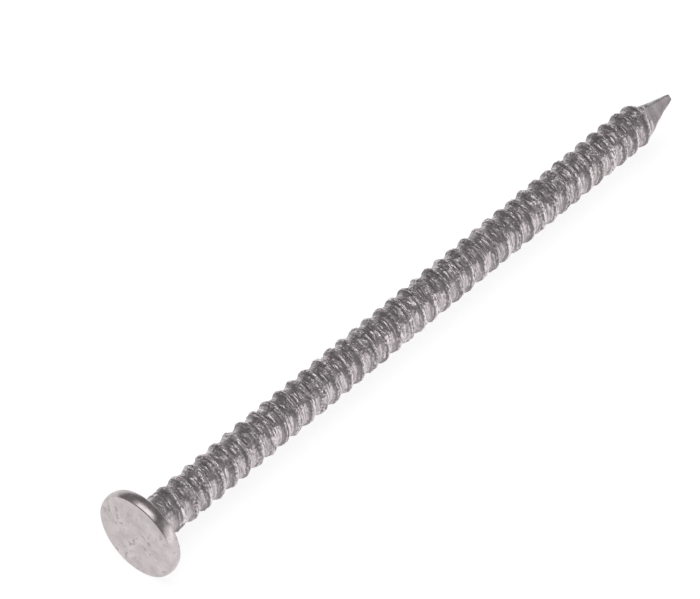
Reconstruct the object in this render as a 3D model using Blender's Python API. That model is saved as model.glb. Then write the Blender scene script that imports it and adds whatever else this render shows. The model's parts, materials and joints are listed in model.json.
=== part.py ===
"""Ring-shank nail: one length of stainless wire, headed, rolled and pointed.

The nail lies along +X. The middle of the head's flat top is at the origin, the point is at the
far end, and the angle round the nail runs from +Y towards +Z. Everything is in metres.
"""

import math

import bmesh
import bpy

MM = 0.001

# Head, upset cold from the end of the wire.
head_diameter = 7.75 * MM
head_thickness = 1.20 * MM
top_edge_radius = 0.20 * MM
under_edge_radius = 0.30 * MM
rim_bulge = 0.07 * MM

# The two fins that the gripping dies leave under the head, one each side of the neck.
fin_height = 0.16 * MM
fin_root_width = 0.42 * MM
fin_end_width = 0.14 * MM
fin_end_gap = 0.50 * MM
fin_sink = 0.20 * MM

# Shank.
length_under_head = 65.0 * MM
wire_diameter = 3.35 * MM
neck_fillet = 0.30 * MM
neck_length = 2.30 * MM

# Rolled rings. They run on as one shallow thread, so their crests stagger from side to side.
# Rolling pushes metal out of the roots, below the wire's surface, into the crests, above it.
crest_height = 0.155 * MM
root_depth = 0.130 * MM
ring_pitch = 1.515 * MM
ring_hand = -1
first_crest = 4.77 * MM
fade_length = 1.90 * MM
crest_sharpness = 1.6

# Diamond point: four flats with narrow ridges between them and a blunt nib. The ridges sag a
# little below a straight line from the rings to the nib.
point_length = 4.60 * MM
point_hollow = 0.36
nib_corner_radius = 0.34 * MM
nib_depth = 0.16 * MM
ridge_angle = 12.0
shoulder_length = 0.60 * MM
flats_turn = 4.0

# Fineness of the mesh.
sides = 24
rows_per_ring = 5
point_rows = 4
arc_steps = 3
sharp_angle = 28.0

# Worked out from the sizes above.
head_radius = head_diameter / 2
wire_radius = wire_diameter / 2
crest_radius = wire_radius + crest_height
root_radius = wire_radius - root_depth
tip_x = head_thickness + length_under_head
point_x = tip_x - point_length
neck_end_x = head_thickness + neck_length
flat_share = math.cos(math.radians(45 - ridge_angle / 2))


def clear_scene():
    for old in list(bpy.data.objects):
        bpy.data.objects.remove(old, do_unlink=True)


def steel():
    """Bright stainless steel, slightly dulled."""
    material = bpy.data.materials.new("stainless_steel")
    material.use_nodes = True
    shader = material.node_tree.nodes["Principled BSDF"]
    shader.inputs["Base Color"].default_value = (0.62, 0.60, 0.59, 1.0)
    shader.inputs["Metallic"].default_value = 1.0
    shader.inputs["Roughness"].default_value = 0.34
    return material


def smooth_step(value):
    """0 below 0, 1 above 1, and an easy curve between."""
    value = min(max(value, 0.0), 1.0)
    return value * value * (3 - 2 * value)


def side_angle(side):
    """Angle of one side of the mesh. Every quarter turn of them falls on a ridge of the point."""
    return math.radians(flats_turn) + 2 * math.pi * side / sides


def ring_height(x, side):
    """0 in the root of a ring, 1 on its crest: a narrow crest between broad round roots."""
    turns = (x - head_thickness - first_crest) / ring_pitch - ring_hand * side / sides
    wave = 0.5 + 0.5 * math.cos(2 * math.pi * turns)
    return wave ** crest_sharpness


def rolled_radius(x, side):
    """The shank's radius: plain wire at the neck, fading into full rings."""
    ringed = root_radius + (crest_radius - root_radius) * ring_height(x, side)
    share = smooth_step((x - neck_end_x) / fade_length)
    return wire_radius + (ringed - wire_radius) * share


def ridge_radius(x):
    """Distance of the point's ridges from the axis."""
    along = (tip_x - x) / point_length
    rise = along * (1 - point_hollow * (1 - along))
    return nib_corner_radius + (crest_radius - nib_corner_radius) * rise


def flat_radius(x, side):
    """Distance of the point's flats from the axis, in the direction of one side of the mesh."""
    shoulder = smooth_step((point_x + shoulder_length - x) / shoulder_length)
    open_width = 2 * crest_radius
    width = ridge_radius(x) * flat_share
    width = open_width + (width - open_width) * shoulder
    from_flat = 2 * math.pi * side / sides % (math.pi / 2) - math.pi / 4
    return width / math.cos(from_flat)


def shank_radius(x, side):
    """The rolled shank, cut down by the flats and ridges of the point."""
    radius = min(rolled_radius(x, side), flat_radius(x, side))
    if x > point_x:
        radius = min(radius, ridge_radius(x))
    return radius


def arc(centre_x, centre_r, radius, start, end):
    """Points (x, r) on an arc in the nail's section. Angles run from +x towards +r, in degrees."""
    points = []
    for step in range(arc_steps + 1):
        angle = math.radians(start + (end - start) * step / arc_steps)
        points.append((centre_x + radius * math.cos(angle), centre_r + radius * math.sin(angle)))
    return points


def head_section():
    """Section of the head, from the edge of its flat top round to the plain neck."""
    edge_r = head_radius - rim_bulge
    top = arc(top_edge_radius, edge_r - top_edge_radius, top_edge_radius, 180, 90)
    middle_x = (top_edge_radius + head_thickness - under_edge_radius) / 2
    under_x = head_thickness - under_edge_radius
    under = arc(under_x, edge_r - under_edge_radius, under_edge_radius, 90, 0)
    fillet_r = wire_radius + neck_fillet
    fillet = arc(head_thickness + neck_fillet, fillet_r, neck_fillet, 180, 270)
    return top + [(middle_x, head_radius)] + under + fillet


class Skin:
    """The nail's surface, built from rings of points with one point for each side."""

    def __init__(self):
        self.mesh = bmesh.new()
        self.placed = {}

    def point(self, x, radius, side):
        """The vertex at one place on one side, made once."""
        key = (side, round(x * 1e7), round(radius * 1e7))
        if key not in self.placed:
            angle = side_angle(side)
            place = (x, radius * math.cos(angle), radius * math.sin(angle))
            self.placed[key] = self.mesh.verts.new(place)
        return self.placed[key]

    def face(self, corners):
        """A face through the corners, leaving out any that coincide."""
        kept = [c for i, c in enumerate(corners) if c is not corners[i - 1]]
        if len(kept) > 2:
            self.mesh.faces.new(kept)

    def ring(self, x, radius_at):
        return [self.point(x, radius_at(x, side), side) for side in range(sides)]

    def band(self, near, far):
        for side in range(sides):
            after = (side + 1) % sides
            self.face([near[side], near[after], far[after], far[side]])

    def cap(self, ring, x):
        """Close a ring with a fan to one vertex on the axis."""
        centre = self.mesh.verts.new((x, 0.0, 0.0))
        for side in range(sides):
            self.face([ring[side], ring[(side + 1) % sides], centre])


def add_head(skin):
    """Flat top, rim and underside. Returns the last ring, where the fillet meets the neck."""
    rings = []
    for x, radius in head_section():
        rings.append(skin.ring(x, lambda _x, _side, r=radius: r))
    skin.cap(rings[0], 0.0)
    for near, far in zip(rings, rings[1:]):
        skin.band(near, far)
    return rings[-1]


def add_rolled_length(skin, start_x, end_x):
    """The ringed shank. Rows of the mesh climb with the rings, so each crest is a row."""
    climb = ring_hand * ring_pitch / sides
    row_gap = ring_pitch / rows_per_ring
    zero = head_thickness + first_crest

    def corner(row, side):
        x = zero + row * row_gap + side * climb
        x = min(max(x, start_x), end_x)
        side = side % sides
        return skin.point(x, shank_radius(x, side), side)

    first_row = math.floor((start_x - zero - ring_pitch) / row_gap)
    last_row = math.ceil((end_x - zero + ring_pitch) / row_gap)
    for row in range(first_row, last_row):
        for side in range(sides):
            corners = [(row, side), (row, side + 1), (row + 1, side + 1), (row + 1, side)]
            skin.face([corner(r, s) for r, s in corners])


def add_point(skin, start_x):
    """The last of the flats and the blunt nib."""
    last = skin.ring(start_x, shank_radius)
    nib_x = tip_x - nib_depth
    for row in range(1, point_rows):
        ring = skin.ring(start_x + (nib_x - start_x) * row / point_rows, shank_radius)
        skin.band(last, ring)
        last = ring
    for x in (nib_x, tip_x - nib_depth / 3):
        share = math.sqrt(1 - ((x - nib_x) / nib_depth) ** 2)
        ring = skin.ring(x, lambda _x, side, s=share: s * shank_radius(nib_x, side))
        skin.band(last, ring)
        last = ring
    skin.cap(last, tip_x)


def new_object(name, mesh, material):
    """Turn a bmesh into a smooth-shaded object with its faces outward."""
    bmesh.ops.recalc_face_normals(mesh, faces=mesh.faces[:])
    data = bpy.data.meshes.new(name)
    mesh.to_mesh(data)
    mesh.free()
    for face in data.polygons:
        face.use_smooth = True
    data.set_sharp_from_angle(angle=math.radians(sharp_angle))
    made = bpy.data.objects.new(name, data)
    bpy.context.scene.collection.objects.link(made)
    made.data.materials.append(material)
    return made


def fin(name, turn, material):
    """A wedge under the head, wide and tall at the neck, thin towards the rim."""
    out = (math.cos(turn), math.sin(turn))
    across = (-out[1], out[0])
    inner = wire_radius - fin_sink
    outer = head_radius - fin_end_gap
    mesh = bmesh.new()
    loops = []
    for reach, width, height in (
        (inner, fin_root_width, fin_height),
        (outer, fin_end_width, fin_height / 3),
    ):
        loop = []
        for x, half in (
            (head_thickness - fin_sink, -width / 2),
            (head_thickness - fin_sink, width / 2),
            (head_thickness + height, width / 6),
            (head_thickness + height, -width / 6),
        ):
            y = reach * out[0] + half * across[0]
            z = reach * out[1] + half * across[1]
            loop.append(mesh.verts.new((x, y, z)))
        loops.append(loop)
    for i in range(4):
        mesh.faces.new([loops[0][i - 1], loops[0][i], loops[1][i], loops[1][i - 1]])
    mesh.faces.new(loops[0])
    mesh.faces.new(loops[1])
    cutter = new_object(name, mesh, material)
    cutter.hide_render = True
    cutter.display_type = "WIRE"
    return cutter


def build_nail():
    material = steel()
    skin = Skin()
    neck = add_head(skin)
    rolled_start = skin.ring(neck_end_x, shank_radius)
    skin.band(neck, rolled_start)
    rolled_end_x = point_x + ring_pitch
    add_rolled_length(skin, neck_end_x, rolled_end_x)
    add_point(skin, rolled_end_x)
    nail = new_object("nail", skin.mesh, material)
    for number in range(2):
        turn = side_angle(number * sides // 2)
        wedge = fin("fin_shape_%d" % number, turn, material)
        union = nail.modifiers.new("fin_%d" % number, "BOOLEAN")
        union.operation = "UNION"
        union.solver = "EXACT"
        union.object = wedge
    return nail


clear_scene()
build_nail()
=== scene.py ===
"""Looks for the ring-shank nail: a finely modelled steel surface in place of the faceted CAD node."""

import math

import bmesh
import bpy
import numpy as np
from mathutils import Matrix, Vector
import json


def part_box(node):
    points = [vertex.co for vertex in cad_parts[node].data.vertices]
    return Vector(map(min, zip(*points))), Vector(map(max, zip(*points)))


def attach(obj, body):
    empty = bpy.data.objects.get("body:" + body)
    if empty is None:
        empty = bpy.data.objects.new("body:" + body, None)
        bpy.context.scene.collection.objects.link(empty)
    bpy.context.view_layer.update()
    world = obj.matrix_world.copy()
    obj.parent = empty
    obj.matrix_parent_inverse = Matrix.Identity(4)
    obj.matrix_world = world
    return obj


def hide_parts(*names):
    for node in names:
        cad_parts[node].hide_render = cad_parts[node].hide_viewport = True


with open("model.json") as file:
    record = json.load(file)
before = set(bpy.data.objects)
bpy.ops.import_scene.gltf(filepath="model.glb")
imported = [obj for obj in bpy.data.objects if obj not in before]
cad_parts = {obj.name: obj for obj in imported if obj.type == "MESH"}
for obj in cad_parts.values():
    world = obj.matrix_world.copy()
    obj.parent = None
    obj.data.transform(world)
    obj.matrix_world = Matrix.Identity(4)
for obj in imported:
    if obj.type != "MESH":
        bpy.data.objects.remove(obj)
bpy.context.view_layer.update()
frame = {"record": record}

MM = 0.001

# Places taken from the frame: the head's top is at x = 0 and the point at the far end.
low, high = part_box("nail")
mounts = {mount["name"]: mount for mount in frame["record"]["mounts"]}
tip_x = high.x
head_radius = (high.y - low.y) / 2
head_thickness = mounts["head_underside"]["pos_m"][0]

# Sizes shared with the CAD source.
wire_radius = 1.675 * MM
crest_radius = 1.83 * MM
root_radius = 1.545 * MM
ring_pitch = 1.515 * MM
ring_hand = -1
first_crest = 4.77 * MM
crest_sharpness = 1.6
neck_length = 2.30 * MM
fade_length = 1.90 * MM
neck_fillet = 0.30 * MM
point_length = 4.60 * MM
point_hollow = 0.36
flats_turn = math.radians(4)
top_edge_radius = 0.20 * MM
under_edge_radius = 0.30 * MM
rim_bulge = 0.07 * MM
fin_end_gap = 0.50 * MM
nib_corner_radius = 0.34 * MM
nib_depth = 0.16 * MM
ridge_half_angle = math.radians(6)

# The two fins under the head, at the neck, and what they lose towards the rim.
fin_height = 0.18 * MM
fin_half_width = 0.26 * MM
fin_height_loss = 0.10 * MM
fin_width_loss = 0.16 * MM
fin_end_share = 0.15
fin_steepness = 6

# A grain of surface noise is its size along the nail, its size round it, and a seed. Noise that
# stays the same along the nail is read at one slice of it.

# Rolled rings. Wander and lip widths are shares of the pitch.
ring_wander = 0.045
ring_wander_grain = (1.9 * MM, 1.4 * MM, 11)
crest_unevenness = 0.12
crest_grain = (1.5 * MM, 0.9 * MM, 21)
ragged_start = 0.35 * MM
ragged_start_grain = (0.9 * MM, 0.5 * MM, 22)
early_start = 0.25 * MM

# Fine lips along the rings: place in the pitch, height, seed.
ring_lips = (
    (0.13, 0.055 * MM, 31),
    (0.27, 0.040 * MM, 35),
    (0.38, 0.050 * MM, 32),
    (-0.44, 0.065 * MM, 33),
    (-0.26, 0.050 * MM, 34),
)
lip_half_width = 0.030
lip_wander = 0.03

# Torn edges over the neck: distance from the head, height, seed.
neck_edges = (
    (1.50 * MM, 0.045 * MM, 101),
    (2.05 * MM, 0.120 * MM, 102),
    (2.65 * MM, 0.100 * MM, 103),
)
neck_edge_width = 0.25 * MM
neck_edge_wander = 0.22 * MM
neck_edge_steepness = 4

# Torn skin between and on the rings.
scale_height = 0.065 * MM
scale_grain = (0.14 * MM, 0.60 * MM, 41)
grit_height = 0.032 * MM
grit_grain = (0.12 * MM, 0.17 * MM, 42)
lump_height = 0.022 * MM
lump_grain = (0.45 * MM, 0.60 * MM, 43)
pit_depth = 0.045 * MM
pit_grain = (0.22 * MM, 0.28 * MM, 44)
pit_rarity = 0.35
valley_calm = 0.45

# Plain neck.
scuff_height = 0.010 * MM
scuff_grain = (0.7 * MM, 0.35 * MM, 71)
fine_scuff_height = 0.006 * MM
fine_scuff_grain = (0.30 * MM, 0.14 * MM, 73)
neck_stain_grain = (0.7 * MM, 0.45 * MM, 74)
neck_stain = 0.50
neck_dirt = 0.25
neck_tornness = 0.40
neck_wildness = 0.85
torn_neck_length = 1.4 * MM

# Point.
shoulder_length = 0.60 * MM
shoulder_wobble = 0.25 * MM
shoulder_grain = (1.0 * MM, 0.8 * MM, 51)
shoulder_slice = 10.0 * MM
flat_bow = 0.03
flat_grain_height = 0.004 * MM
flat_grain = (0.5 * MM, 0.3 * MM, 72)
flat_edge = 0.02 * MM
flat_dullness = 0.22
flash_height = 0.05 * MM
flash_half_width = 0.045
flash_grain = (0.5 * MM, 0.5 * MM, 61)
flash_radius = 0.4 * MM

# Head: heights, and sizes of their patches, on the flat top, the underside and the rim.
face_swell = 0.010 * MM
face_swell_size = 1.7 * MM
dent_depth = 0.012 * MM
dent_size = 0.42 * MM
dent_rarity = 0.45
face_grit = 0.0022 * MM
face_grit_size = 0.16 * MM
face_fade = 0.5 * MM
underside_grain_height = 0.003 * MM
underside_grain = (1.0 * MM, 0.35 * MM, 91)
underside_radius = 2.5 * MM
underside_slice = 3.2 * MM
rim_grain_height = 0.006 * MM
rim_grain = (1.2 * MM, 1.1 * MM, 92)
out_of_round = 0.004
out_of_round_size = 1.3
out_of_round_from = 1.3 * wire_radius

# Dirt and painted light. Phases and widths are shares of the pitch, counted from a crest. The flank of
# each ring that faces the head gets painted shade, and the lip just behind each crest a painted
# highlight.
dark_flank_phase = -0.19
dark_flank_width = 0.17
dark_flank_painted_shade = 0.40
bright_lip_phase = 0.14
bright_lip_width = 0.07
bright_lip_painted_highlight = 0.30
hollow_depth = 0.05 * MM
hollow_spread = 6
hollow_strength = 0.8
plain_hollow = hollow_strength / 2
# On the fins the next two paint shade: full dirt and the torn colour darken them. Full dirt also fills
# the point's flats.
full_dirt_and_shade = 1.5
fin_dullness_and_shade = 0.6

# Metal: the clean metal's two colours and its specks, then the rolled skin's two colours, whose mix also
# carries painted shade and painted highlights on the rings and fins.
clean_dark = (0.455, 0.414, 0.420)
clean_light = (0.610, 0.558, 0.561)
speck_dark = (0.26, 0.235, 0.235)
rolled_light = (0.77, 0.707, 0.722)
rolled_dark = (0.23, 0.21, 0.22)
line_scale = 5.2
line_stretch = 18.0
fine_bump = 0.004 * MM
torn_bump = 0.11 * MM

# Table top.
cove_start = 2.2
cove_radius = 0.5
cove_steps = 12
cove_sides = 96

# Camera.
camera_lens = 257.14
camera_aim = (0.028867, 0.003139, 0.002059)
camera_azimuth = -139.106
camera_elevation = 44.947
camera_distance = 0.40035

# Fineness of the visual mesh.
sides = 176
row_gap = 0.065 * MM
face_rows = 44
face_middle_gap = 0.03 * MM
edge_steps = 7
rim_steps = 8
rim_blend = 15
underside_rows = 20
nib_steps = 7

point_x = tip_x - point_length
neck_end_x = head_thickness + neck_length
round_share = np.arange(sides) / sides
angles = flats_turn + 2 * np.pi * np.arange(sides) / sides


# ---------------------------------------------------------------- noise

def hashed(cell, seed):
    """A fixed pseudo-random number from 0 to 1 for each whole-number cell."""
    mixed = cell[..., 0] * 73856093 ^ cell[..., 1] * 19349663 ^ cell[..., 2] * 83492791
    mixed = (mixed ^ seed * 2654435761) & 0x7FFFFFFF
    mixed = ((mixed ^ (mixed >> 13)) * 1274126177) & 0x7FFFFFFF
    mixed = ((mixed ^ (mixed >> 16)) * 668265263) & 0x7FFFFFFF
    return mixed / 0x7FFFFFFF


def noise(points, seed):
    """Smooth noise from -1 to 1 at points given in cells."""
    cell = np.floor(points).astype(np.int64)
    ease = points - cell
    ease = ease * ease * (3 - 2 * ease)
    total = np.zeros(points.shape[:-1])
    for dx in (0, 1):
        for dy in (0, 1):
            for dz in (0, 1):
                share = np.ones(points.shape[:-1])
                for axis, step in enumerate((dx, dy, dz)):
                    share = share * (ease[..., axis] if step else 1 - ease[..., axis])
                total += share * hashed(cell + np.array([dx, dy, dz]), seed)
    return 2 * total - 1


def surface_noise(x, radius, grain):
    """Noise from -1 to 1 on a round surface of the nail."""
    size_along, size_round, seed = grain
    across = [x / size_along, radius * np.cos(angles) / size_round, radius * np.sin(angles) / size_round]
    return noise(np.stack(np.broadcast_arrays(*across), axis=-1) + 100.0, seed)


def smooth_step(value):
    """0 below 0, 1 above 1, and an easy curve between."""
    value = np.clip(value, 0.0, 1.0)
    return value * value * (3 - 2 * value)


# ---------------------------------------------------------------- rings and neck

def ring_turns(x):
    """How many rings lie between the first crest and this place, climbing round the shank."""
    turns = (x - head_thickness - first_crest) / ring_pitch - ring_hand * round_share
    return turns + ring_wander * surface_noise(x, crest_radius, ring_wander_grain)


def from_phase(turns, phase):
    """How far each place is from one phase of the nearest ring, in shares of the pitch."""
    return (turns - phase + 0.5) % 1.0 - 0.5


def ring_relief(turns):
    """Height of the rolled rings, from 0 in a root to 1 on a crest."""
    return (0.5 + 0.5 * np.cos(2 * np.pi * turns)) ** crest_sharpness


def lips(x, turns):
    """Fine lips where the rolls folded the metal over. They break off and start again."""
    total = np.zeros_like(turns)
    for phase, height, seed in ring_lips:
        wander_grain = (0.5 * MM, 0.6 * MM, seed)
        break_grain = (1.3 * MM, 0.9 * MM, seed + 9)
        place = from_phase(turns, phase) + lip_wander * surface_noise(x, crest_radius, wander_grain)
        unbroken = smooth_step(0.7 + 1.3 * surface_noise(x, crest_radius, break_grain))
        total += height * unbroken * np.exp(-np.abs(place / lip_half_width))
    return total


def torn_skin(x):
    """The rough skin left by the rolls: scales drawn out round the shank, grit, lumps and pits."""
    scales = surface_noise(x, crest_radius, scale_grain)
    grit = surface_noise(x, crest_radius, grit_grain)
    lumps = surface_noise(x, crest_radius, lump_grain)
    pits = smooth_step((surface_noise(x, crest_radius, pit_grain) - pit_rarity) / 0.4)
    return scale_height * scales + grit_height * grit + lump_height * lumps - pit_depth * pits


def skin_wildness(turns):
    """How rough the rolled skin is: 1 on a crest, and calmer in a root."""
    return valley_calm + (1 - valley_calm) * np.sqrt(ring_relief(turns))


def ringed_radius(x, turns):
    """The rolled shank, with its uneven crests, lips and torn skin."""
    strength = 1 + crest_unevenness * surface_noise(x, crest_radius, crest_grain)
    radius = root_radius + (crest_radius - root_radius) * ring_relief(turns) * strength
    return radius + lips(x, turns) + torn_skin(x) * skin_wildness(turns)


def neck_marks(x):
    """Torn edges of metal dragged back over the neck by the first rings, and scuffs."""
    total = scuff_height * surface_noise(x, wire_radius, scuff_grain)
    total += fine_scuff_height * surface_noise(x, wire_radius, fine_scuff_grain)
    for place, height, seed in neck_edges:
        wander_grain = (1.0 * MM, 0.55 * MM, seed)
        break_grain = (1.0 * MM, 0.8 * MM, seed + 5)
        edge = place + neck_edge_wander * surface_noise(0.0, wire_radius, wander_grain)
        unbroken = smooth_step(0.5 + 1.4 * surface_noise(0.0, wire_radius, break_grain))
        behind = (x - head_thickness - edge) / neck_edge_width
        slope = np.minimum(neck_edge_steepness * behind, 0) - np.maximum(behind, 0)
        total += height * unbroken * np.exp(slope)
    return total


# ---------------------------------------------------------------- point

def from_two_ridges():
    """Angle of each side from the nearer of two opposite ridges, which the fins also follow."""
    return (angles - flats_turn + np.pi / 2) % np.pi - np.pi / 2


def from_flat_middle():
    """Angle of each side from the middle of the nearest flat of the point."""
    return 2 * np.pi * round_share % (np.pi / 2) - np.pi / 4


def ridge_radius(x):
    """Distance of the point's ridges from the axis. They sag a little."""
    along = (tip_x - x) / point_length
    rise = along * (1 - point_hollow * (1 - along))
    return nib_corner_radius + (crest_radius - nib_corner_radius) * rise


def flat_radius(x):
    """Distance of the point's flats from the axis. They end in a ragged rounded step at the rings."""
    wobble = shoulder_wobble * surface_noise(shoulder_slice, crest_radius, shoulder_grain)
    shoulder = smooth_step((point_x + wobble + shoulder_length - x) / shoulder_length)
    width = ridge_radius(x) * math.cos(math.pi / 4 - ridge_half_angle)
    width = width + (2 * crest_radius - width) * shoulder
    bow = 1 - flat_bow * np.cos(2 * from_flat_middle())
    radius = width * bow / np.cos(from_flat_middle())
    return radius + flat_grain_height * surface_noise(x, crest_radius, flat_grain)


def flash(x):
    """Thin ragged fins squeezed out along two opposite ridges of the point."""
    ragged = smooth_step(0.45 + 0.9 * surface_noise(x, flash_radius, flash_grain))
    along = (tip_x - x) / point_length
    present = smooth_step(along / 0.15) * smooth_step((1.12 - along) / 0.2)
    return flash_height * ragged * present * np.exp(-((from_two_ridges() / flash_half_width) ** 2))


def cut_point(x, radius):
    """The radius cut down to the flats and ridges, and how much of the rolled skin is left."""
    flats = flat_radius(x)
    radius = np.minimum(radius, flats)
    ridges = ridge_radius(x) + flash(x)
    radius = np.where(x > point_x, np.minimum(radius, ridges), radius)
    return radius, smooth_step((flats - radius) / flat_edge + 0.5)


def nib_rows(radius):
    """The blunt nib: a low dome over the last ring of the point."""
    x, r = [], []
    for step in range(1, nib_steps):
        lift = math.radians(90 * step / nib_steps)
        x.append(np.full(sides, tip_x - nib_depth + nib_depth * math.sin(lift)))
        r.append(radius * math.cos(lift))
    return np.array(x), np.array(r)


# ---------------------------------------------------------------- shank

def flank_painted_light(turns):
    """Painted shade on the flank that faces the head, and a painted highlight on the lip just behind
    each crest.
    """
    from_flank = from_phase(turns, dark_flank_phase) / dark_flank_width
    from_lip = from_phase(turns, bright_lip_phase) / bright_lip_width
    return dark_flank_painted_shade * np.exp(-from_flank ** 2) - bright_lip_painted_highlight * np.exp(-from_lip ** 2)


def shank_rows(start_x, end_x):
    """For every row of the shank: x, radius, how torn the skin is from 0 to 1, its extra dirt with
    painted shade and highlights, and its place along the axis measured square to the climbing rings."""
    count = int(round((end_x - start_x) / row_gap))
    x = np.repeat(np.linspace(start_x, end_x, count + 1)[:, None], sides, axis=1)
    turns = ring_turns(x)
    ragged = ragged_start * surface_noise(x, wire_radius, ragged_start_grain)
    ringed = smooth_step((x + ragged + early_start - neck_end_x) / fade_length)
    radius = wire_radius + (ringed_radius(x, turns) - wire_radius) * ringed
    radius += neck_marks(x) * (1 - ringed)
    radius, rolled = cut_point(x, radius)

    near_rings = smooth_step((x + 2 * ragged - neck_end_x) / torn_neck_length + 1)
    torn = neck_tornness + (1 - neck_tornness) * near_rings
    torn = torn * rolled * np.maximum(skin_wildness(turns), neck_wildness * (1 - ringed))
    torn += flat_dullness * (1 - rolled)
    stains = neck_dirt + neck_stain * surface_noise(x, wire_radius, neck_stain_grain)
    # On the rings this adds painted shade on the head-facing flanks and painted highlights on the lips.
    # On the neck it adds stains.
    dirt_and_painted_light = ringed * flank_painted_light(turns) + (1 - ringed) * stains
    dirt_and_painted_light = rolled * dirt_and_painted_light + full_dirt_and_shade * (1 - rolled)
    return x, radius, torn, dirt_and_painted_light, turns * ring_pitch


# ---------------------------------------------------------------- head

def arc(centre_x, centre_r, radius, start, end, steps):
    """Points (x, r) on an arc. Angles run from +x towards +r, in degrees."""
    turn = np.radians(np.linspace(start, end, steps + 1))
    return [(centre_x + radius * math.cos(t), centre_r + radius * math.sin(t)) for t in turn]


def rim_between(start, end):
    """The bulged side of the head, between the ends of its two edge radii."""
    points = []
    for share in np.linspace(0, 1, rim_steps + 1)[1:-1]:
        bulge = rim_bulge * 4 * share * (1 - share)
        x = start[0] + (end[0] - start[0]) * share
        r = start[1] + (end[1] - start[1]) * share + bulge
        points.append((x, r))
    return points


def head_section():
    """Points (x, r) from near the middle of the head's top, round the rim, to the neck."""
    edge_r = head_radius - rim_bulge
    flat_r = edge_r - top_edge_radius
    face = [(0.0, r) for r in np.linspace(face_middle_gap, flat_r, face_rows)]
    top = arc(top_edge_radius, flat_r, top_edge_radius, 180, 90 + rim_blend, edge_steps - 1)
    under_x = head_thickness - under_edge_radius
    under_r = edge_r - under_edge_radius
    under = arc(under_x, under_r, under_edge_radius, 90 - rim_blend, 0, edge_steps)
    fillet_r = wire_radius + neck_fillet
    below = [(head_thickness, r) for r in np.linspace(under_r, fillet_r, underside_rows)]
    fillet = arc(head_thickness + neck_fillet, fillet_r, neck_fillet, 180, 270, edge_steps)
    return np.array(face + top[1:] + rim_between(top[-1], under[0]) + under + below[1:] + fillet[1:])


def face_relief(r):
    """A broad swell, shallow dents and a fine grit on the flat top, fading out at its edge."""
    flat = np.stack(np.broadcast_arrays(r * np.cos(angles), r * np.sin(angles), 0.0), axis=-1)
    flat = flat + 50.0 * MM
    relief = face_swell * noise(flat / face_swell_size, 81)
    relief -= dent_depth * smooth_step((noise(flat / dent_size, 82) - dent_rarity) / 0.35)
    relief += face_grit * noise(flat / face_grit_size, 83)
    return relief * smooth_step((head_radius - top_edge_radius - r) / face_fade + 0.2)


def fin_relief(r):
    """The two fins under the head, left where the gripping dies part."""
    aside = r * np.sin(from_two_ridges())
    run = np.clip((r - wire_radius) / (head_radius - fin_end_gap - wire_radius), 0, 1)
    half_width = fin_half_width - fin_width_loss * run
    height = (fin_height - fin_height_loss * run) * smooth_step((1 - run) / fin_end_share)
    return height * np.exp(-((aside / half_width) ** fin_steepness))


def head_rows():
    """x, radius and how much of a fin there is, for every row of the head. The head's unevenness
    stands along its section's normal."""
    section = head_section()
    ahead = np.gradient(section, axis=0)
    ahead /= np.linalg.norm(ahead, axis=1)[:, None]
    normal = np.stack([-ahead[:, 1], ahead[:, 0]], axis=1)
    x = np.repeat(section[:, :1], sides, axis=1)
    r = np.repeat(section[:, 1:], sides, axis=1)
    on_face = x < 1e-9
    under = (x > head_thickness - 1e-9) & (r < head_radius - under_edge_radius)
    fins = np.where(under, fin_relief(r), 0.0)
    underside = surface_noise(underside_slice, underside_radius, underside_grain)
    rise = rim_grain_height * surface_noise(x, head_radius, rim_grain)
    rise = np.where(on_face, face_relief(r), rise)
    rise = np.where(under, fins + underside_grain_height * underside, rise)
    round_place = np.stack([np.cos(angles), np.sin(angles), 0 * angles], axis=-1)
    shrink = 1 - out_of_round * (1 + noise(out_of_round_size * round_place + 9.0, 93))
    x = x + normal[:, :1] * rise
    r = (r + normal[:, 1:] * rise) * np.where(r > out_of_round_from, shrink, 1.0)
    return x, r, fins / fin_height


# ---------------------------------------------------------------- mesh

def blurred(values, times):
    """Each value mixed with its neighbours round the nail and along it."""
    for _ in range(times):
        around = (np.roll(values, 1, axis=1) + np.roll(values, -1, axis=1)) / 2
        padded = np.pad(around, ((1, 1), (0, 0)), mode="edge")
        values = (padded[:-2] + 2 * padded[1:-1] + padded[2:]) / 4 * 0.5 + values * 0.5
    return values


def hollowness(radius):
    """Low on what stands proud of its surroundings, high in a pit or at the foot of a lip."""
    proud = radius - blurred(radius, hollow_spread)
    return hollow_strength * np.clip(0.5 - proud / hollow_depth, 0, 1)


def grid_faces(rows):
    """Faces of a tube of rows, closed at each end by a fan to one more vertex."""
    here = np.arange(sides)
    after = (here + 1) % sides
    faces = []
    for row in range(rows - 1):
        base, over = row * sides, (row + 1) * sides
        quads = np.stack([base + here, over + here, over + after, base + after], axis=1)
        faces.extend(quads.tolist())
    top, tip = rows * sides, rows * sides + 1
    last = (rows - 1) * sides
    for side in range(sides):
        faces.append([top, side, (side + 1) % sides])
        faces.append([tip, last + (side + 1) % sides, last + side])
    return faces


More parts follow.
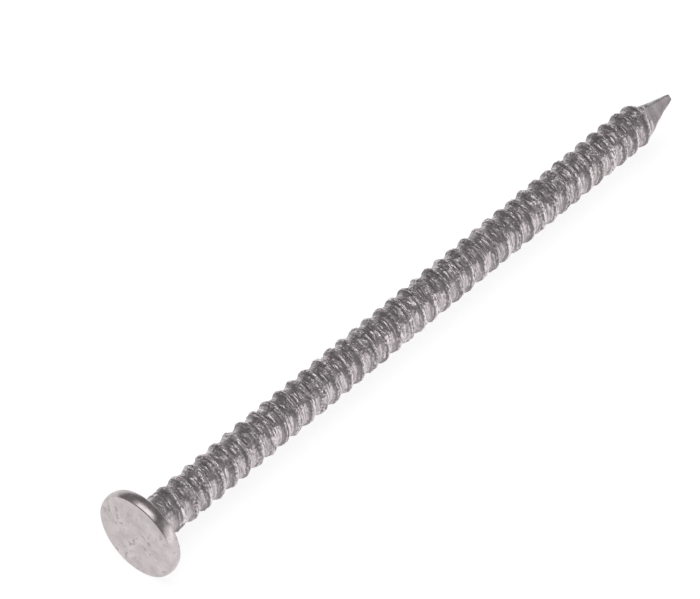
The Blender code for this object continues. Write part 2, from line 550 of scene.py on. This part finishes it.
def build_mesh(name):
    """The nail's skin, with its tornness, its hollows, its dirt with painted shade and highlights, and
    its place along the rings.
    """
    head_x, head_r, fins = head_rows()
    start_x = head_thickness + neck_fillet + row_gap
    body_x, body_r, torn, dirt_and_painted_light, along = shank_rows(start_x, tip_x - nib_depth)
    nib_x, nib_r = nib_rows(body_r[-1])
    x = np.concatenate([head_x, body_x, nib_x])
    r = np.concatenate([head_r, body_r, nib_r])
    places = np.stack([x, r * np.cos(angles), r * np.sin(angles)], axis=-1).reshape(-1, 3)
    centres = np.array([[x[0].mean(), 0.0, 0.0], [tip_x, 0.0, 0.0]])
    smooth_nib = np.zeros_like(nib_x)
    # The fins under the head are darkened with painted shade.
    head_hollow_and_fin_shade = plain_hollow + full_dirt_and_shade * fins
    shades = {
        "torn": [fin_dullness_and_shade * fins, torn, smooth_nib],
        "hollow_dirt_and_painted_light": [head_hollow_and_fin_shade, hollowness(body_r) + dirt_and_painted_light, smooth_nib + plain_hollow],
        "along_rings": [head_x / MM, along / MM, smooth_nib + along[-1] / MM],
    }

    mesh = bpy.data.meshes.new(name)
    mesh.from_pydata(np.concatenate([places, centres]).tolist(), [], grid_faces(len(x)))
    mesh.polygons.foreach_set("use_smooth", [True] * len(mesh.polygons))
    for label, shade in shades.items():
        layer = mesh.attributes.new(label, "FLOAT", "POINT")
        values = np.append(np.concatenate(shade).ravel(), [0.0, 0.0])
        layer.data.foreach_set("value", values.astype(np.float32))
    piece = bpy.data.objects.new(name, mesh)
    bpy.context.scene.collection.objects.link(piece)
    return piece


# ---------------------------------------------------------------- material nodes

def attribute_node(tree, label):
    node = tree.nodes.new("ShaderNodeAttribute")
    node.attribute_name = label
    return node.outputs["Fac"]


def noise_node(tree, scale, detail, stretch=1.0):
    """Noise on the object's own coordinates, in grains per metre. Stretch draws its grains out
    round the nail."""
    place = tree.nodes.new("ShaderNodeTexCoord")
    squeeze = tree.nodes.new("ShaderNodeMapping")
    squeeze.inputs["Scale"].default_value = (1.0, 1.0 / stretch, 1.0 / stretch)
    grain = tree.nodes.new("ShaderNodeTexNoise")
    grain.inputs["Scale"].default_value = scale
    grain.inputs["Detail"].default_value = detail
    tree.links.new(place.outputs["Object"], squeeze.inputs["Vector"])
    tree.links.new(squeeze.outputs["Vector"], grain.inputs["Vector"])
    return grain.outputs["Fac"]


def line_node(tree, scale, stretch):
    """Fine long lines that run along the rings, in lines per millimetre."""
    along = attribute_node(tree, "along_rings")
    place = tree.nodes.new("ShaderNodeTexCoord")
    parts = tree.nodes.new("ShaderNodeSeparateXYZ")
    whole = tree.nodes.new("ShaderNodeCombineXYZ")
    grain = tree.nodes.new("ShaderNodeTexNoise")
    grain.inputs["Scale"].default_value = scale
    grain.inputs["Detail"].default_value = 2.0
    tree.links.new(place.outputs["Object"], parts.inputs["Vector"])
    tree.links.new(along, whole.inputs["X"])
    for axis in ("Y", "Z"):
        shrunk = math_node(tree, "MULTIPLY", parts.outputs[axis], 1 / MM / stretch)
        tree.links.new(shrunk, whole.inputs[axis])
    tree.links.new(whole.outputs["Vector"], grain.inputs["Vector"])
    return grain.outputs["Fac"]


def map_node(tree, value, low_in, high_in, low_out, high_out):
    """A value stretched from one span to another, and held at the ends."""
    node = tree.nodes.new("ShaderNodeMapRange")
    node.inputs["From Min"].default_value = low_in
    node.inputs["From Max"].default_value = high_in
    node.inputs["To Min"].default_value = low_out
    node.inputs["To Max"].default_value = high_out
    tree.links.new(value, node.inputs["Value"])
    return node.outputs["Result"]


def math_node(tree, operation, first, second):
    """A sum or product. Each side is a socket or a number."""
    node = tree.nodes.new("ShaderNodeMath")
    node.operation = operation
    for socket, value in zip(node.inputs, (first, second)):
        if isinstance(value, (int, float)):
            socket.default_value = value
        else:
            tree.links.new(value, socket)
    return node.outputs["Value"]


def mix_node(tree, factor, first, second):
    """A colour mix. Each colour is a socket or three numbers."""
    node = tree.nodes.new("ShaderNodeMix")
    node.data_type = "RGBA"
    tree.links.new(factor, node.inputs["Factor"])
    for label, value in (("A", first), ("B", second)):
        if isinstance(value, tuple):
            node.inputs[label].default_value = (*value, 1)
        else:
            tree.links.new(value, node.inputs[label])
    return node.outputs["Result"]


def bump_node(tree, height, distance, normal=None):
    node = tree.nodes.new("ShaderNodeBump")
    node.inputs["Strength"].default_value = 1.0
    node.inputs["Distance"].default_value = distance
    tree.links.new(height, node.inputs["Height"])
    if normal is not None:
        tree.links.new(normal, node.inputs["Normal"])
    return node.outputs["Normal"]


# ---------------------------------------------------------------- materials

def clean_metal(tree):
    """Colour of the unrolled metal: clouds, with dark specks that gather in clusters."""
    clouds = map_node(tree, noise_node(tree, 900, 5), 0.30, 0.70, 0, 1)
    clean = mix_node(tree, clouds, clean_dark, clean_light)
    specks = map_node(tree, noise_node(tree, 2400, 4), 0.53, 0.66, 0, 0.75)
    cluster = map_node(tree, noise_node(tree, 420, 2), 0.42, 0.62, 0.10, 1)
    return mix_node(tree, math_node(tree, "MULTIPLY", specks, cluster), clean, speck_dark)


def rolled_dirt_and_painted_light(tree, lines):
    """Oxide and dirt, with painted shade on the ring flanks and fins, from 0 on the lips that carry a
    painted highlight to 1 in the hollows of the rolled skin.
    """
    streaks = noise_node(tree, 9000, 2, 3.0)
    texture = math_node(tree, "ADD", streaks, math_node(tree, "MULTIPLY", lines, 1.9))
    hollow_dirt_and_painted_light = attribute_node(tree, "hollow_dirt_and_painted_light")
    dirt_and_painted_light = math_node(tree, "ADD", hollow_dirt_and_painted_light, math_node(tree, "MULTIPLY", texture, 1.1))
    return map_node(tree, dirt_and_painted_light, 1.68, 2.40, 0, 1)


def steel_material():
    """Stainless steel: bright and satin on the head, torn and dirty in the rings, with painted shade on
    the ring flanks and fins and a painted highlight behind each crest.
    """
    material = bpy.data.materials.new("worn_stainless_painted_light")
    material.use_nodes = True
    tree = material.node_tree
    shader = tree.nodes["Principled BSDF"]
    shader.inputs["Metallic"].default_value = 1.0
    torn = attribute_node(tree, "torn")
    lines = line_node(tree, line_scale, line_stretch)
    dirt_and_painted_light = rolled_dirt_and_painted_light(tree, lines)

    # The rolled colour carries the painted shade and painted highlights along with the dirt.
    rolled = mix_node(tree, dirt_and_painted_light, rolled_light, rolled_dark)
    tree.links.new(mix_node(tree, torn, clean_metal(tree), rolled), shader.inputs["Base Color"])

    satin = map_node(tree, noise_node(tree, 2200, 3), 0.3, 0.7, 0.22, 0.36)
    rough = map_node(tree, dirt_and_painted_light, 0, 1, 0.20, 0.58)
    dulling = math_node(tree, "MULTIPLY", torn, math_node(tree, "SUBTRACT", rough, satin))
    tree.links.new(math_node(tree, "ADD", satin, dulling), shader.inputs["Roughness"])

    fine = bump_node(tree, noise_node(tree, 8000, 3), fine_bump)
    ridges = math_node(tree, "MULTIPLY", lines, 0.6)
    deep = math_node(tree, "ADD", noise_node(tree, 7500, 3, 2.5), ridges)
    deep = math_node(tree, "MULTIPLY", torn, deep)
    tree.links.new(bump_node(tree, deep, torn_bump, fine), shader.inputs["Normal"])
    return material


def floor_material():
    """A pale light table: mostly matt, with a little light of its own, so shadows stay faint."""
    material = bpy.data.materials.new("pale_floor")
    material.use_nodes = True
    shader = material.node_tree.nodes["Principled BSDF"]
    shader.inputs["Base Color"].default_value = (0.5, 0.5, 0.5, 1)
    shader.inputs["Roughness"].default_value = 0.9
    shader.inputs["Specular IOR Level"].default_value = 0.1
    shader.inputs["Emission Color"].default_value = (1, 1, 1, 1)
    shader.inputs["Emission Strength"].default_value = 0.78
    return material


# ---------------------------------------------------------------- studio

def add_floor(level):
    """A round table top whose far edge curves up into a low pale wall."""
    mesh = bmesh.new()
    loops = []
    for step in range(cove_steps + 1):
        climb = math.radians(90 * step / cove_steps)
        reach = cove_start + cove_radius * math.sin(climb)
        height = level + cove_radius * (1 - math.cos(climb))
        loop = []
        for number in range(cove_sides):
            turn = 2 * math.pi * number / cove_sides
            loop.append(mesh.verts.new((reach * math.cos(turn), reach * math.sin(turn), height)))
        loops.append(loop)
    mesh.faces.new(loops[0])
    for near, far in zip(loops, loops[1:]):
        for i in range(cove_sides):
            mesh.faces.new([near[i - 1], near[i], far[i], far[i - 1]])
    data = bpy.data.meshes.new("floor")
    mesh.to_mesh(data)
    mesh.free()
    for face in data.polygons:
        face.use_smooth = len(face.vertices) == 4
    floor = bpy.data.objects.new("floor", data)
    bpy.context.scene.collection.objects.link(floor)
    floor.data.materials.append(floor_material())


def direction(azimuth, elevation):
    """A unit vector, from angles in degrees."""
    a, e = math.radians(azimuth), math.radians(elevation)
    return Vector((math.cos(e) * math.cos(a), math.cos(e) * math.sin(a), math.sin(e)))


def add_softbox(name, aim, azimuth, elevation, distance, width, height, brightness):
    """A rectangular lamp whose face has the given brightness (white floor is 1)."""
    light = bpy.data.lights.new(name, "AREA")
    light.shape = "RECTANGLE"
    light.size = width
    light.size_y = height
    light.energy = brightness * math.pi * width * height
    lamp = bpy.data.objects.new(name, light)
    bpy.context.scene.collection.objects.link(lamp)
    towards = direction(azimuth, elevation)
    lamp.location = aim + towards * distance
    lamp.rotation_euler = (-towards).to_track_quat("-Z", "Y").to_euler()


def add_lights():
    """One long low box to the right of the nail, and one above it."""
    middle = Vector(((low.x + high.x) / 2, 0, 0))
    right = {"azimuth": -66, "elevation": 15, "distance": 1.0, "width": 1.2, "height": 0.56}
    top = {"azimuth": 180, "elevation": 80, "distance": 1.1, "width": 1.0, "height": 1.0}
    add_softbox("right_box", middle, brightness=0.78, **right)
    add_softbox("top_box", middle, brightness=1.4, **top)


def add_world():
    world = bpy.data.worlds.new("studio")
    bpy.context.scene.world = world
    world.use_nodes = True
    background = world.node_tree.nodes["Background"]
    background.inputs["Color"].default_value = (0.20, 0.195, 0.20, 1)
    background.inputs["Strength"].default_value = 1.0


def add_camera():
    camera = bpy.data.cameras.new("camera")
    camera.sensor_width = 36.0
    camera.lens = camera_lens
    camera.clip_start = 0.01
    camera.clip_end = 20.0
    holder = bpy.data.objects.new("camera", camera)
    bpy.context.scene.collection.objects.link(holder)
    towards = direction(camera_azimuth, camera_elevation)
    holder.location = Vector(camera_aim) + towards * camera_distance
    holder.rotation_euler = (-towards).to_track_quat("-Z", "Y").to_euler()
    bpy.context.scene.camera = holder


nail = build_mesh("nail_steel")
nail.data.materials.append(steel_material())
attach(nail, "root")
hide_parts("nail")

add_world()
add_floor(low.z)
add_lights()
add_camera()
bpy.context.scene.view_settings.view_transform = "Standard"
